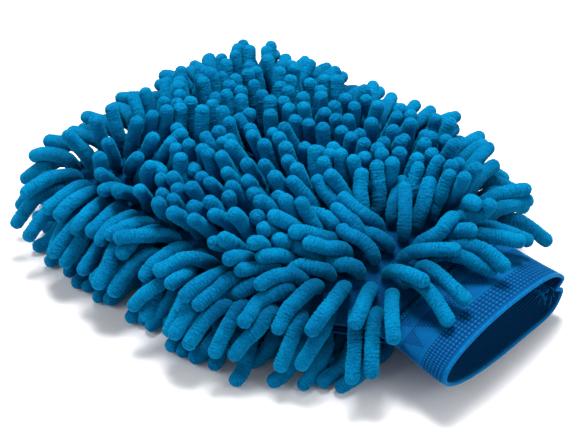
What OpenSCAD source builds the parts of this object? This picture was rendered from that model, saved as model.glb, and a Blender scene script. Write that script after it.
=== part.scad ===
// Double-sided chenille wash mitt with a knitted elastic cuff, lying on a flat surface.
// Frame: +X points out of the cuff mouth, the finger end is at -X, +Z is up.
// Origin: the middle of the footprint, on the surface that the mitt lies on.
// The model is laid out from the wrist seam (distance s runs from it towards the finger end)
// and moved to its origin at the very end.

/* [Body] */
// Width of the sewn body across its widest part
body_w = 162; // [150:1:172]
// Length of the sewn body from the wrist seam to the finger end
body_l = 198; // [190:1:210]
// Radius of the two corners at the finger end
corner_r = 34; // [28:1:48]
// Distance over which the gathered wrist widens to the full body
shoulder_l = 62; // [50:1:80]
// Height of the perimeter seam
seam_z = 24; // [22:0.5:26]
// Rise of the upper panel above the seam at the wrist
wrist_rise = 10.5; // [9:0.5:12]
// Extra rise of the upper panel where the cuff holds the body open
hump_rise = 6; // [4:0.5:9]
// Rise of the upper panel at the finger end
tip_rise = 9.5; // [8:0.5:12]
// Sag of the lower panel below the seam
lower_sag = 4.5; // [4:0.5:6]
// Thickness of the backing cloth that the noodles are sewn to
backing_t = 1.4; // [1:0.1:1.6]
// Thickness of the inner lining
lining_t = 0.8; // [0.6:0.1:1]

/* [Noodles] */
// Diameter of one chenille noodle
noodle_d = 7; // [6.8:0.1:7.2]
// Length of an upper noodle
noodle_l = 32; // [28:0.5:33]
// Length of a lower noodle, pressed flat by the weight on it
lower_noodle_l = 27; // [26:0.5:30]
// Distance between rows of noodles
row_pitch = 9; // [9:0.1:11.4]
// Least distance between the noodles of a row
noodle_pitch = 9.2; // [9.2:0.1:13]
// Distance of the first row from the wrist seam
first_row = 6; // [5:0.5:10]
// Diameter of a noodle's sewn root
root_d = 4.2; // [3:0.1:4.6]
// Lean of the noodles of the open field, from upright
field_lean = 28; // [22:1:30]
// Lean of the outermost noodles, from upright
rim_lean = 108; // [95:1:115]
// Lean of the noodles that fall over the cuff, from upright
wrist_lean = 74; // [65:1:80]
// Random turn of a noodle's lean, to each side
lean_jitter = 1.5; // [0:0.5:2]

/* [Cuff] */
// Length of the elastic cuff band
cuff_l = 39; // [37:1:46]
// Length of the cuff that is tucked under the body's wrist edge
cuff_tuck = 7; // [5:0.5:9]
// Half width of the cuff at the wrist seam
cuff_wrist_a = 44; // [41:0.5:47]
// Half height of the cuff at the wrist seam
cuff_wrist_b = 10; // [9:0.5:11]
// Half width of the cuff at its mouth
cuff_mouth_a = 46.5; // [43:0.5:50]
// Half height of the cuff at its mouth
cuff_mouth_b = 15; // [13:0.5:17]
// Height of the mouth's lower lip above the surface
mouth_lift = 5.1; // [2:0.1:7]
// How much higher the mouth stands on its -Y side than in its middle
mouth_tilt = 2.4; // [0:0.2:3]
// Thickness of the knitted band
cuff_t = 1.8; // [1.4:0.1:2.2]
// Thickness of the rolled edge at the mouth
edge_d = 2.4; // [2:0.1:2.8]
// Depth to which the side seam draws the band inwards at the mouth
notch_depth = 6; // [0:0.5:8]

/* [Seams] */
// Width of the perimeter seam allowance, turned inside
allowance_w = 7; // [5:0.5:8]
// Thickness of an overlock thread chain
chain_d = 1; // [0.8:0.1:1.2]
// Depth of the side seam allowance inside the cuff
side_allowance = 6; // [4:0.5:8]

/* [Hidden] */
// Smoothness of a single noodle
noodle_sides = 24;
// Stations along the body, across a panel and around the cuff
along_n = 24;
across_n = 18;
around_n = 56;
cuff_n = 10;
gap = 0.2;
// The upper noodles part at two crests, the second one weaker, and bend outwards near the rim
crest_s = 14;
crest_y = -22;
crest_reach = 42;
second_crest_s = 170;
second_crest_y = -54;
second_crest_reach = 26;
second_crest_pull = 0.3;
crest_core = 6;
agreement_gain = 1.5;
rim_start = 3;
rim_reach = 22;
rim_pull = 1.2;
// The lower noodles lie away from a point this far outside the wrist
lower_middle_s = 48;
wrist_start = 4;
wrist_reach = 18;
wrist_pull = 0.8;
root_lift = 0.8;
root_flare = 0.9;
rim_margin = 4;
// The body's hump rises and fades over these distances from the wrist
hump_reach = 26;
hump_fade_start = 40;
hump_fade = 90;
wrist_arch = 0.5;
body_arch = 0.8;
end_crowding = 1.6;
// The perimeter allowance: where it starts, its distance from the seam, its half thicknesses
seam_start = 12;
seam_inset = 3;
seam_half_t = 0.4;
seam_edge_half_t = 0.9;
// The side seam's notch: where it starts along the cuff and its spread around it, in degrees
notch_start = 0.2;
notch_spread = 7;
side_seam_half_t = 1.2;
side_seam_end = 0.3;
// The rolled edge covers this arc to each side, is flattened a little and stands just clear
edge_arc = 75;
edge_flatness = 0.8;
edge_gap = 0.05;
noodle_r = noodle_d / 2;
root_r = root_d / 2;
neck_w = 2 * (cuff_wrist_a + backing_t + gap);
row_n = floor((body_l - first_row - 2) / row_pitch) + 1;
mouth_x = cuff_l - cuff_tuck;
mouth_z = cuff_mouth_b + mouth_lift;
stack = backing_t + lining_t + 2 * gap;
blue = [0.0, 0.44, 0.68];
deep_blue = [0.0, 0.3, 0.52];
navy = [0.0, 0.12, 0.25];

// ---- small helpers ----

function smooth(t) = let (c = max(0, min(1, t))) c * c * (3 - 2 * c);
function mix(a, b, t) = a + (b - a) * t;
function unit(v) = let (m = norm(v)) m < 1e-6 ? v * 0 : v / m;
function noise(seed, count) = rands(-1, 1, count, seed);
function two_digits(i) = str(i < 10 ? "0" : "", i);

// ---- outline and surfaces of the sewn body ----

// Half width at distance s from the wrist, on the outline drawn in by inset
function half_w(s, inset = 0) =
    let (
        open = mix(neck_w / 2, body_w / 2, smooth(s / shoulder_l)) - inset,
        r = corner_r - inset,
        t = max(0, min(1, (s - (body_l - corner_r)) / r))
    )
    open - r * (1 - sqrt(max(0, 1 - t * t)));

// How much of the body's rise is left towards the finger end
function end_fade(s, inset = 0) =
    let (r = corner_r - inset, t = max(0, min(1, (s - (body_l - corner_r)) / r)))
    sqrt(max(0, 1 - t * t));

// Rise over the width, round at the wrist and flatter in the body
function arch(s, v) =
    pow(max(0, 1 - v * v), mix(wrist_arch, body_arch, smooth(s / shoulder_l)));

function rise(s) =
    mix(wrist_rise, tip_rise, smooth(s / shoulder_l))
    + hump_rise * smooth(s / hump_reach) * (1 - smooth((s - hump_fade_start) / hump_fade));

function sag(s) = mix(wrist_rise, lower_sag, smooth(s / shoulder_l));

// Point of the upper panel at depth below its outer face, v from -1 to 1 across
function upper_point(s, v, depth = 0) =
    [-s, v * half_w(s, depth),
     seam_z + stack - depth + rise(s) * arch(s, v) * end_fade(s, depth)];

function lower_point(s, v, depth = 0) =
    [-s, v * half_w(s, depth),
     seam_z - stack + depth - sag(s) * arch(s, v) * end_fade(s, depth)];

// Stations are closer together towards the finger end, where the outline turns
function station(i, inset = 0) = (body_l - inset) * (1 - pow(1 - i / along_n, end_crowding));

function upper_grid(depth) =
    [for (i = [0:along_n]) [for (j = [0:across_n])
        upper_point(station(i, depth), 2 * j / across_n - 1, depth)]];

function lower_grid(depth) =
    [for (i = [0:along_n]) [for (j = [0:across_n])
        lower_point(station(i, depth), 2 * j / across_n - 1, depth)]];

// ---- faces ----

function flat_list(rows) = [for (row = rows) for (p = row) p];

// Two triangles for each cell of a grid whose rows start at first and hold count points
function grid_faces(first, rows, count, turned, wrap) =
    [for (i = [0:rows - 2]) for (j = [0:count - (wrap ? 1 : 2)])
        let (
            k = (j + 1) % count,
            a = first + i * count + j, b = first + i * count + k,
            c = a + count, d = b + count
        )
        each turned ? [[a, b, d], [a, d, c]] : [[a, d, b], [a, c, d]]];

// Strip that joins an edge of the outer grid to the same edge of the inner one
function strip_faces(outer_ids, inner_ids, turned, wrap) =
    let (n = len(outer_ids))
    [for (j = [0:n - (wrap ? 1 : 2)])
        let (k = (j + 1) % n, a = outer_ids[j], b = outer_ids[k], c = inner_ids[j], d = inner_ids[k])
        each turned ? [[a, b, d], [a, d, c]] : [[a, d, b], [a, c, d]]];

// A cloth of real thickness between two grids of points
module cloth(outer, inner, turned = false) {
    rows = len(outer);
    count = len(outer[0]);
    m = rows * count;
    first_row_ids = [for (j = [0:count - 1]) j];
    last_row_ids = [for (j = [0:count - 1]) (rows - 1) * count + j];
    left_ids = [for (i = [0:rows - 1]) i * count];
    right_ids = [for (i = [0:rows - 1]) i * count + count - 1];
    polyhedron(
        points = concat(flat_list(outer), flat_list(inner)),
        faces = concat(
            grid_faces(0, rows, count, turned, false),
            grid_faces(m, rows, count, !turned, false),
            strip_faces(first_row_ids, [for (k = first_row_ids) k + m], !turned, false),
            strip_faces(last_row_ids, [for (k = last_row_ids) k + m], turned, false),
            strip_faces(left_ids, [for (k = left_ids) k + m], turned, false),
            strip_faces(right_ids, [for (k = right_ids) k + m], !turned, false)),
        convexity = 6);
}

// A band of real thickness that closes on itself around
module band(outer, inner) {
    rows = len(outer);
    count = len(outer[0]);
    m = rows * count;
    first_ids = [for (j = [0:count - 1]) j];
    last_ids = [for (j = [0:count - 1]) (rows - 1) * count + j];
    polyhedron(
        points = concat(flat_list(outer), flat_list(inner)),
        faces = concat(
            grid_faces(0, rows, count, false, true),
            grid_faces(m, rows, count, true, true),
            strip_faces(first_ids, [for (k = first_ids) k + m], true, true),
            strip_faces(last_ids, [for (k = last_ids) k + m], false, true)),
        convexity = 6);
}

// A solid swept through closed rings of points, closed on itself or capped at both ends
module swept(rings, closed) {
    rows = len(rings);
    count = len(rings[0]);
    all_rings = closed ? concat(rings, [rings[0]]) : rings;
    wrap_at = rows * count;
    body_faces = [for (f = grid_faces(0, len(all_rings), count, false, true))
        [for (k = f) closed ? k % wrap_at : k]];
    caps = closed ? [] : [
        [for (j = [0:count - 1]) j],
        [for (j = [count - 1:-1:0]) (rows - 1) * count + j]];
    polyhedron(points = flat_list(rings), faces = concat(body_faces, caps), convexity = 6);
}

// ---- upper and lower noodles ----

// Outward direction of the body's outline at a place
function outward(s, y) =
    let (
        q = [s - (body_l - corner_r), abs(y) - (half_w(min(s, body_l - corner_r)) - corner_r)],
        corner = [max(0, q[0]), max(0, q[1])],
        side = q[0] > q[1] ? [1, 0] : [0, 1],
        d = norm(corner) > 0.5 ? unit(corner) : side
    )
    [-d[0], y < 0 ? -d[1] : d[1]];

// Distance from the outline, inwards
function rim_distance(s, y) =
    let (
        q = [s - (body_l - corner_r), abs(y) - (half_w(min(s, body_l - corner_r)) - corner_r)]
    )
    corner_r - (q[0] > 0 && q[1] > 0 ? norm(q) : max(q[0], q[1]));

// Push away from a crest, weaker with distance
function push_from(p, c, strength = 1) =
    let (d = p - c, m = max(norm(d), crest_core)) strength * d / (m * m);

function first_push(p) = push_from(p, [-crest_s, crest_y]);
function second_push(p) = push_from(p, [-second_crest_s, second_crest_y], second_crest_pull);

// 1 where both crests push the same way, 0 where they cancel
function agreement(p) =
    norm(first_push(p) + second_push(p)) / (norm(first_push(p)) + norm(second_push(p)));

function rim_share(s, y) = 1 - smooth((rim_distance(s, y) - rim_start) / rim_reach);

// 1 at the wrist seam, where the noodles fall over the cuff
function wrist_share(p) = 1 - smooth((-p[0] - wrist_start) / wrist_reach);

// Noodles lie away from two crests, outwards at the rim and over the cuff at the wrist
function upper_heading(p) =
    let (rim = rim_share(-p[0], p[1]))
    unit(unit(first_push(p) + second_push(p)) * (1 - rim) + outward(-p[0], p[1]) * rim * rim_pull
        + [wrist_pull * wrist_share(p), 0]);

function upper_lean(p) =
    let (
        near_crest = smooth(norm(p - [-crest_s, crest_y]) / crest_reach),
        near_second = smooth(norm(p - [-second_crest_s, second_crest_y]) / second_crest_reach),
        open = field_lean * near_crest * near_second * smooth(agreement_gain * agreement(p))
    )
    max(mix(open, rim_lean, rim_share(-p[0], p[1])), wrist_lean * wrist_share(p));

function turned_by(d, a) = [d[0] * cos(a) - d[1] * sin(a), d[0] * sin(a) + d[1] * cos(a)];

function direction(heading, lean) =
    [heading[0] * sin(lean), heading[1] * sin(lean), cos(lean)];

// Noodles spread over a row up to the rim margin, one fewer in every other row
function row_room(row) = half_w(first_row + row * row_pitch) - rim_margin;
function row_count(row) = floor(2 * row_room(row) / noodle_pitch) + 1 - row % 2;
function row_y(row, j) = row_room(row) * (2 * j / (row_count(row) - 1) - 1);

function seed_of(row, j, side) = side * 10000 + row * 100 + j;

// A noodle is [root, direction, length]
function upper_noodle(row, j) =
    let (
        s = first_row + row * row_pitch,
        y = row_y(row, j),
        n = noise(seed_of(row, j, 1), 3),
        v = y / half_w(s),
        p = upper_point(s, v),
        d = direction(turned_by(upper_heading([-s, y]), lean_jitter * n[0]),
            upper_lean([-s, y]) + lean_jitter * n[1] / 2)
    )
    [p + [0, 0, root_r * root_lift] * sin(upper_lean([-s, y])), d, noodle_l * (1 + 0.05 * n[2])];

// A lower noodle lies outwards with its tip on the surface below
function lower_noodle(row, j) =
    let (
        s = first_row + row * row_pitch,
        y = row_y(row, j),
        n = noise(seed_of(row, j, 2), 2),
        v = y / half_w(s),
        p = lower_point(s, v) - [0, 0, root_r],
        rim = rim_share(s, y),
        middle = unit([-s - lower_middle_s, y]),
        heading = turned_by(unit(middle * (1 - rim) + outward(s, y) * rim), lean_jitter * n[0] / 2),
        long = lower_noodle_l * (1 + 0.04 * n[1]),
        drop = (p[2] - noodle_r) / (long - noodle_r)
    )
    [p, [heading[0] * cos(asin(drop)), heading[1] * cos(asin(drop)), -drop], long];

upper_rows = [for (row = [0:row_n - 1]) [for (j = [0:row_count(row) - 1]) upper_noodle(row, j)]];
lower_rows = [for (row = [0:row_n - 1]) [for (j = [0:row_count(row) - 1]) lower_noodle(row, j)]];

// The footprint's middle, from the noodles' tips and the mouth's edge
tips = [for (row = concat(upper_rows, lower_rows)) for (n = row) n[0] + n[1] * (n[2] - noodle_r)];
low_x = min([for (t = tips) t[0]]) - noodle_r;
high_x = mouth_x + edge_d / 2;
low_y = min([for (t = tips) t[1]]) - noodle_r;
high_y = max([for (t = tips) t[1]]) + noodle_r;
to_origin = [-(low_x + high_x) / 2, -(low_y + high_y) / 2, 0];

// One noodle: a narrow sewn root, a full shaft and a domed tip
module noodle(n) {
    long = n[2];
    profile = [
        [0, 0], [root_r, 0], [noodle_r * root_flare, noodle_r], [noodle_r, noodle_r * 2],
        for (a = [0:22.5:90]) [noodle_r * cos(a), long - noodle_r + noodle_r * sin(a)]
    ];
    translate(n[0])
        rotate([0, acos(n[1][2]), atan2(n[1][1], n[1][0])])
            rotate_extrude($fn = noodle_sides)
                polygon(profile);
}

module noodle_row(noodles) {
    for (n = noodles) noodle(n);
}

module upper_pile_row(row) {
    color(blue) noodle_row(upper_rows[row]);
}

module lower_pile_row(row) {
    color(deep_blue) noodle_row(lower_rows[row]);
}

// ---- sewn body ----

module upper_backing() {
    color(deep_blue) cloth(upper_grid(0), upper_grid(backing_t));
}

module lower_backing() {
    color(deep_blue) cloth(lower_grid(0), lower_grid(backing_t), turned = true);
}

module upper_lining() {
    color(navy) cloth(upper_grid(backing_t + gap), upper_grid(backing_t + gap + lining_t));
}

module lower_lining() {
    color(navy)
        cloth(lower_grid(backing_t + gap), lower_grid(backing_t + gap + lining_t), turned = true);
}

// Path around the inside of the perimeter, drawn in from the seam by inset
function perimeter_path(inset) =
    let (
        n = 22,
        side = [for (i = [0:n]) let (s = mix(seam_start, body_l - inset, 1 - pow(1 - i / n, end_crowding)))
            [-s, half_w(s, inset)]],
        flat = half_w(body_l - inset, inset)
    )
    concat(
        side,
        [for (k = [0.5, 0, -0.5]) [-(body_l - inset), k * flat]],
        [for (i = [n:-1:0]) [side[i][0], -side[i][1]]]);

// Section of the turned-in allowance: thin at the seam, thicker at its loose edge
module perimeter_seam() {
    outer = perimeter_path(seam_inset);
    inner = perimeter_path(seam_inset + allowance_w);
    color(navy) swept([for (i = [0:len(outer) - 1]) [
        [outer[i][0], outer[i][1], seam_z - seam_half_t],
        [inner[i][0], inner[i][1], seam_z - seam_edge_half_t],
        [inner[i][0], inner[i][1], seam_z + seam_edge_half_t],
        [outer[i][0], outer[i][1], seam_z + seam_half_t]]],
        false);
}

// A round chain of thread along a path of [x, y, z] points
function chain_rings(path, sides = 6) =
    let (n = len(path))
    [for (i = [0:n - 1])
        let (
            ahead = unit(path[min(i + 1, n - 1)] - path[max(i - 1, 0)]),
            side = unit(cross(ahead, [0, 0, 1])),
            up = cross(side, ahead)
        )
        [for (k = [0:sides - 1]) let (a = 360 * k / sides)
            path[i] + (chain_d / 2) * (side * cos(a) + up * sin(a))]];

module perimeter_overlock() {
    path = [for (p = perimeter_path(seam_inset + allowance_w + chain_d / 2 + gap)) [p[0], p[1], seam_z]];
    color(blue) swept(chain_rings(path), false);
}

// ---- cuff ----

// How far the side seam draws the band in at angle a around and t along, 1 at the mouth
function notch(a, t) =
    let (off = abs(((a + 180) % 360) - 180))
    notch_depth * smooth((t - notch_start) / (1 - notch_start)) * exp(-pow(off / notch_spread, 2));

// Point of the cuff at angle a, t from 0 at its tucked end to 1 at the mouth
function cuff_point(a, t, depth = 0) =
    let (
        x = -cuff_tuck + cuff_l * t,
        w = max(0, x) / mouth_x,
        half = mix(cuff_wrist_a, cuff_mouth_a, smooth(w)) - depth - notch(a, t),
        height = mix(cuff_wrist_b, cuff_mouth_b, smooth(w)) - depth,
        mid = mix(seam_z, mouth_z - mouth_tilt * cos(a), smooth(w))
    )
    [x, half * cos(a), mid + height * sin(a)];

function cuff_ring(t, depth = 0) =
    [for (k = [0:around_n - 1]) cuff_point(360 * k / around_n, t, depth)];

module cuff_band() {
    color(blue) band(
        [for (i = [0:cuff_n]) cuff_ring(i / cuff_n)],
        [for (i = [0:cuff_n]) cuff_ring(i / cuff_n, cuff_t)]);
}

// The rolled edge lies just past the band's end
module cuff_edge() {
    r = edge_d / 2;
    rings = [for (k = [0:around_n - 1])
        let (
            a = 360 * k / around_n,
            mid = cuff_point(a, 1, cuff_t / 2) + [edge_gap, 0, 0],
            out = unit(cuff_point(a, 1, 0) - cuff_point(a, 1, cuff_t))
        )
        [for (m = [0:5]) let (q = edge_arc * (2 * m / 5 - 1))
            mid + r * edge_flatness * [cos(q), 0, 0] + r * sin(q) * out]];
    color(blue) swept(rings, true);
}

module cuff_side_seam() {
    rings = [for (i = [1:cuff_n])
        let (t = i / (cuff_n + side_seam_end), p = cuff_point(0, t, cuff_t + gap))
        [p + [0, 0, -side_seam_half_t], p + [0, -side_allowance, -seam_edge_half_t],
         p + [0, -side_allowance, seam_edge_half_t], p + [0, 0, side_seam_half_t]]];
    color(navy) swept(rings, false);
}

module cuff_seam_overlock() {
    path = [for (i = [1:cuff_n]) let (t = i / (cuff_n + side_seam_end))
        cuff_point(0, t, cuff_t + gap) - [0, side_allowance + chain_d / 2 + gap, 0]];
    color(blue) swept(chain_rings(path), false);
}

// Thread that joins the cuff to the body, wound round the wrist just clear of the body's edge
module wrist_seam() {
    rings = [for (k = [0:around_n - 1])
        let (
            a = 360 * k / around_n,
            mid = cuff_point(a, (cuff_tuck + chain_d) / cuff_l, -chain_d / 2 - gap),
            out = unit([0, cos(a) / cuff_wrist_a, sin(a) / cuff_wrist_b])
        )
        [for (m = [0:5]) let (q = 60 * m)
            mid + (chain_d / 2) * ([cos(q), 0, 0] + sin(q) * out)]];
    color(blue) swept(rings, true);
}

translate(to_origin) {
    upper_backing();
    lower_backing();
    upper_lining();
    lower_lining();
    perimeter_seam();
    perimeter_overlock();
    cuff_band();
    cuff_edge();
    cuff_side_seam();
    cuff_seam_overlock();
    wrist_seam();
    for (row = [1:row_n]) {
        upper_pile_row(row - 1);
        lower_pile_row(row - 1);
    }
}
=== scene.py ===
# Chenille wash mitt: noodle pile, knitted elastic cuff and sewn body.
# Lengths are in metres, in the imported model's frame.
import math
import bmesh
import bpy
import numpy as np
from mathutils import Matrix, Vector
from mathutils.bvhtree import BVHTree
from mathutils.kdtree import KDTree


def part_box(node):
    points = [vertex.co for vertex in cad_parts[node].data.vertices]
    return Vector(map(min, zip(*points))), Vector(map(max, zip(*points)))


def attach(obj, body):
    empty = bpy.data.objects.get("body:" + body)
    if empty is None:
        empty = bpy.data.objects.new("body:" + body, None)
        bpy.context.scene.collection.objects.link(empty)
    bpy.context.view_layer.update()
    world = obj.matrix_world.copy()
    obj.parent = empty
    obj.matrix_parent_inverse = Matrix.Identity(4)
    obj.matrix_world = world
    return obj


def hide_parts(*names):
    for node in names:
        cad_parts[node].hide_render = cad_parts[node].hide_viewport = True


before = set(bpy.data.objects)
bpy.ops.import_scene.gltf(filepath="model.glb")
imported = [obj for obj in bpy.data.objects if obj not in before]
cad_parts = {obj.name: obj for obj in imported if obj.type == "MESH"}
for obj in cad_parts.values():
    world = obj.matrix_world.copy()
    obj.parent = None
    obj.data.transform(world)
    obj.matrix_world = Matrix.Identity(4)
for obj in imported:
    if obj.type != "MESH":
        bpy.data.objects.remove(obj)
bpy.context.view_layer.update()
scene = bpy.context.scene
mm = 0.001
print("frame loaded")


class Wire:
    # one output socket; arithmetic on it adds Math nodes
    def __init__(self, graph, socket):
        self.graph = graph
        self.socket = socket

    def math(self, operation, other=None, swap=False):
        pair = [self] if other is None else ([other, self] if swap else [self, other])
        return self.graph.add("ShaderNodeMath", {"operation": operation}, dict(enumerate(pair)))

    def __add__(self, other):
        return self.math("ADD", other)

    def __sub__(self, other):
        return self.math("SUBTRACT", other)

    def __rsub__(self, other):
        return self.math("SUBTRACT", other, swap=True)

    def __mul__(self, other):
        return self.math("MULTIPLY", other)

    def __truediv__(self, other):
        return self.math("DIVIDE", other)

    def __pow__(self, other):
        return self.math("POWER", other)


class Graph:
    # a node tree, shader or geometry, filled in by add
    def __init__(self, tree):
        self.tree = tree

    def add(self, kind, settings=None, sockets=None, output=0):
        node = self.tree.nodes.new(kind)
        for key, value in (settings or {}).items():
            setattr(node, key, value)
        for key, value in (sockets or {}).items():
            if isinstance(value, Wire):
                self.tree.links.new(value.socket, node.inputs[key])
            else:
                node.inputs[key].default_value = value
        return Wire(self, node.outputs[output]) if node.outputs else node

    def sibling(self, wire, output):
        # another output of the node that a wire comes from
        return Wire(self, wire.socket.node.outputs[output])

    def mix(self, factor, first, second):
        sockets = {0: factor, 6: opaque(first), 7: opaque(second)}
        return self.add("ShaderNodeMix", {"data_type": "RGBA"}, sockets, output=2)

    def span(self, value, low, high, toLow=0.0, toHigh=1.0):
        settings = {"interpolation_type": "SMOOTHSTEP"}
        names = {"Value": value, "From Min": low, "From Max": high, "To Min": toLow, "To Max": toHigh}
        return self.add("ShaderNodeMapRange", settings, names)

    def noise(self, place, scale, detail=2.0, output="Fac"):
        sockets = {"Vector": place, "Scale": scale, "Detail": detail}
        return self.add("ShaderNodeTexNoise", None, sockets, output)

    def store(self, geometry, name, value):
        # keeps a value on each point, for later nodes and for the material
        return self.add("GeometryNodeStoreNamedAttribute", {"data_type": "FLOAT", "domain": "POINT"},
                        {0: geometry, "Name": name, "Value": value})

    def value(self, name):
        # a value that store or the mesh has kept, in a geometry tree
        return self.add("GeometryNodeInputNamedAttribute", {"data_type": "FLOAT"}, {"Name": name})

    def tube(self, lines, sides, width):
        ring = self.add("GeometryNodeCurvePrimitiveCircle", {"mode": "RADIUS"},
                        {"Resolution": sides, "Radius": 1.0})
        return self.add("GeometryNodeCurveToMesh", None,
                        {0: lines, 1: ring, "Scale": width, "Fill Caps": True})

    def attribute(self, name, output="Fac"):
        return self.add("ShaderNodeAttribute", {"attribute_name": name}, None, output)

    def objectPlace(self):
        return self.add("ShaderNodeTexCoord", None, None, "Object")


def opaque(colour):
    return colour if isinstance(colour, Wire) or len(colour) == 4 else (*colour, 1)


# how dull and soft each cloth is, and how strong and deep its finest bumps are
finishes = {
    "chenilleUpper": {"dull": 0.95, "sheen": 0.3, "tint": (0.0, 0.6, 0.9), "bump": 0.9, "deep": 0.8 * mm},
    "chenilleLower": {"dull": 0.95, "sheen": 0.3, "tint": (0.0, 0.6, 0.9)},
    "backingKnit": {"dull": 0.9, "sheen": 0.15, "tint": (0.0, 0.5, 0.8), "bump": 0.4, "deep": 0.3 * mm},
    "liningTricot": {"dull": 0.9, "sheen": 0.15, "tint": (0.0, 0.5, 0.8), "bump": 0.4, "deep": 0.3 * mm},
    "allowanceKnit": {"dull": 0.9, "sheen": 0.15, "tint": (0.0, 0.5, 0.8), "bump": 0.4, "deep": 0.3 * mm},
    "sewingThread": {"dull": 0.6, "sheen": 0.2, "tint": (0.0, 0.6, 0.9), "bump": 0.5, "deep": 0.1 * mm},
    "cuffKnit": {"dull": 0.75, "sheen": 0.2, "tint": (0.0, 0.5, 0.9), "bump": 0.35, "deep": 0.2 * mm},
    "cuffInside": {"dull": 0.85, "sheen": 0.1, "tint": (0.0, 0.5, 0.9), "bump": 0.5, "deep": 0.25 * mm},
    "rolledEdge": {"dull": 0.7, "sheen": 0.2, "tint": (0.0, 0.6, 0.9), "bump": 0.3, "deep": 0.15 * mm},
}
sheenRoughness = 0.45
clothSpecular = 0.04


def clothMaterial(name, colour, bump=None):
    # colour and bump are functions that add their nodes to the graph
    finish = finishes[name]
    material = bpy.data.materials.new(name)
    material.use_nodes = True
    material.node_tree.nodes.clear()
    graph = Graph(material.node_tree)
    sockets = {"Base Color": colour(graph), "Roughness": finish["dull"],
               "Sheen Weight": finish["sheen"], "Sheen Roughness": sheenRoughness,
               "Sheen Tint": opaque(finish["tint"]), "Specular IOR Level": clothSpecular}
    if bump:
        relief = {"Height": bump(graph), "Strength": finish["bump"], "Distance": finish["deep"]}
        sockets["Normal"] = graph.add("ShaderNodeBump", None, relief)
    shader = graph.add("ShaderNodeBsdfPrincipled", None, sockets)
    graph.add("ShaderNodeOutputMaterial", None, {"Surface": shader})
    return material


def newTree(name, inputs):
    # inputs: {socket name: (socket type, value)}; the geometry goes in first
    tree = bpy.data.node_groups.new(name, "GeometryNodeTree")
    tree.interface.new_socket("Geometry", in_out="INPUT", socket_type="NodeSocketGeometry")
    for label, (kind, value) in inputs.items():
        socket = tree.interface.new_socket(label, in_out="INPUT", socket_type="NodeSocket" + kind)
        if value is not None:
            socket.default_value = value
    tree.interface.new_socket("Geometry", in_out="OUTPUT", socket_type="NodeSocketGeometry")
    graph = Graph(tree)
    entry = tree.nodes.new("NodeGroupInput")
    return graph, {socket.name: Wire(graph, socket) for socket in entry.outputs if socket.name}


def endTree(graph, geometry, material):
    realized = graph.add("GeometryNodeRealizeInstances", None, {0: geometry})
    finished = graph.add("GeometryNodeSetMaterial", None, {0: realized, "Material": material})
    graph.add("NodeGroupOutput", None, {0: finished})
    return graph.tree


def runTree(name, mesh, tree, values):
    # the tree's result on a mesh, as a plain mesh object
    source = bpy.data.objects.new(name + "Source", mesh)
    scene.collection.objects.link(source)
    modifier = source.modifiers.new("build", "NODES")
    modifier.node_group = tree
    for item in tree.interface.items_tree:
        if item.in_out == "INPUT" and item.name in values:
            modifier[item.identifier] = values[item.name]
    bpy.context.view_layer.update()
    result = bpy.data.meshes.new_from_object(source.evaluated_get(bpy.context.evaluated_depsgraph_get()))
    source.modifiers.remove(modifier)
    bpy.data.objects.remove(source)
    return placeMesh(name, result)


def placeMesh(name, mesh):
    piece = bpy.data.objects.new(name, mesh)
    mesh.name = name
    scene.collection.objects.link(piece)
    return piece


def standFor(piece, slot, *nodes):
    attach(piece, "root")
    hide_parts(*nodes)
    return piece


def lineMesh(name, lines, closed=False, **pointValues):
    # polylines as one mesh of edges, with float attributes given for each point
    mesh = bpy.data.meshes.new(name)
    edges = []
    start = 0
    for line in lines:
        count = len(line)
        edges += [(start + k, start + k + 1) for k in range(count - 1)]
        if closed:
            edges.append((start + count - 1, start))
        start += count
    mesh.from_pydata([tuple(p) for line in lines for p in line], edges, [])
    for label, values in pointValues.items():
        attribute = mesh.attributes.new(label, "FLOAT", "POINT")
        attribute.data.foreach_set("value", np.concatenate(values).astype(np.float32))
    return mesh


def smooth(t):
    c = np.clip(t, 0, 1)
    return c * c * (3 - 2 * c)


def unit(v):
    return v / np.maximum(np.linalg.norm(v, axis=-1, keepdims=True), 1e-9)


def mergedNode(node):
    # vertices and triangles of a CAD node, with its loose corners joined
    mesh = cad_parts[node].data
    corners = np.empty(len(mesh.vertices) * 3)
    mesh.vertices.foreach_get("co", corners)
    faces = np.empty(len(mesh.polygons) * 3, int)
    mesh.polygons.foreach_get("vertices", faces)
    keys, first, back = np.unique(np.round(corners.reshape(-1, 3) * 2e5), axis=0,
                                  return_index=True, return_inverse=True)
    return corners.reshape(-1, 3)[first], back.reshape(-1)[faces].reshape(-1, 3)


def islands(count, faces):
    label = np.arange(count)
    while True:
        low = label[faces].min(1)
        fresh = label.copy()
        np.minimum.at(fresh, faces.ravel(), np.repeat(low, 3))
        fresh = fresh[fresh]
        if (fresh == label).all():
            return label
        label = fresh


def cadNoodles(node):
    # each noodle's root, direction and length; the root is the flat end, so its outline is wider there
    endDepth = 0.2 * mm
    points, faces = mergedNode(node)
    label = islands(len(points), faces)
    found = []
    for island in np.unique(label):
        cloud = points[label == island]
        middle = cloud.mean(0)
        axis = np.linalg.svd(cloud - middle, full_matrices=False)[2][0]
        run = (cloud - middle) @ axis
        wide = np.linalg.norm(cloud - middle - run[:, None] * axis, axis=1)
        lowEnd = wide[run < run.min() + endDepth].mean()
        highEnd = wide[run > run.max() - endDepth].mean()
        if lowEnd < highEnd:
            axis, run = -axis, -run
        found.append((middle + axis * run.min(), axis, run.max() - run.min()))
    return found


upperNodes = sorted(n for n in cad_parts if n.startswith("upper_pile_row"))
lowerNodes = sorted(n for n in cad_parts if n.startswith("lower_pile_row"))
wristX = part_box("upper_backing")[1][0]
middleY = (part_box("upper_backing")[0][1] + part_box("upper_backing")[1][1]) / 2


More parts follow.
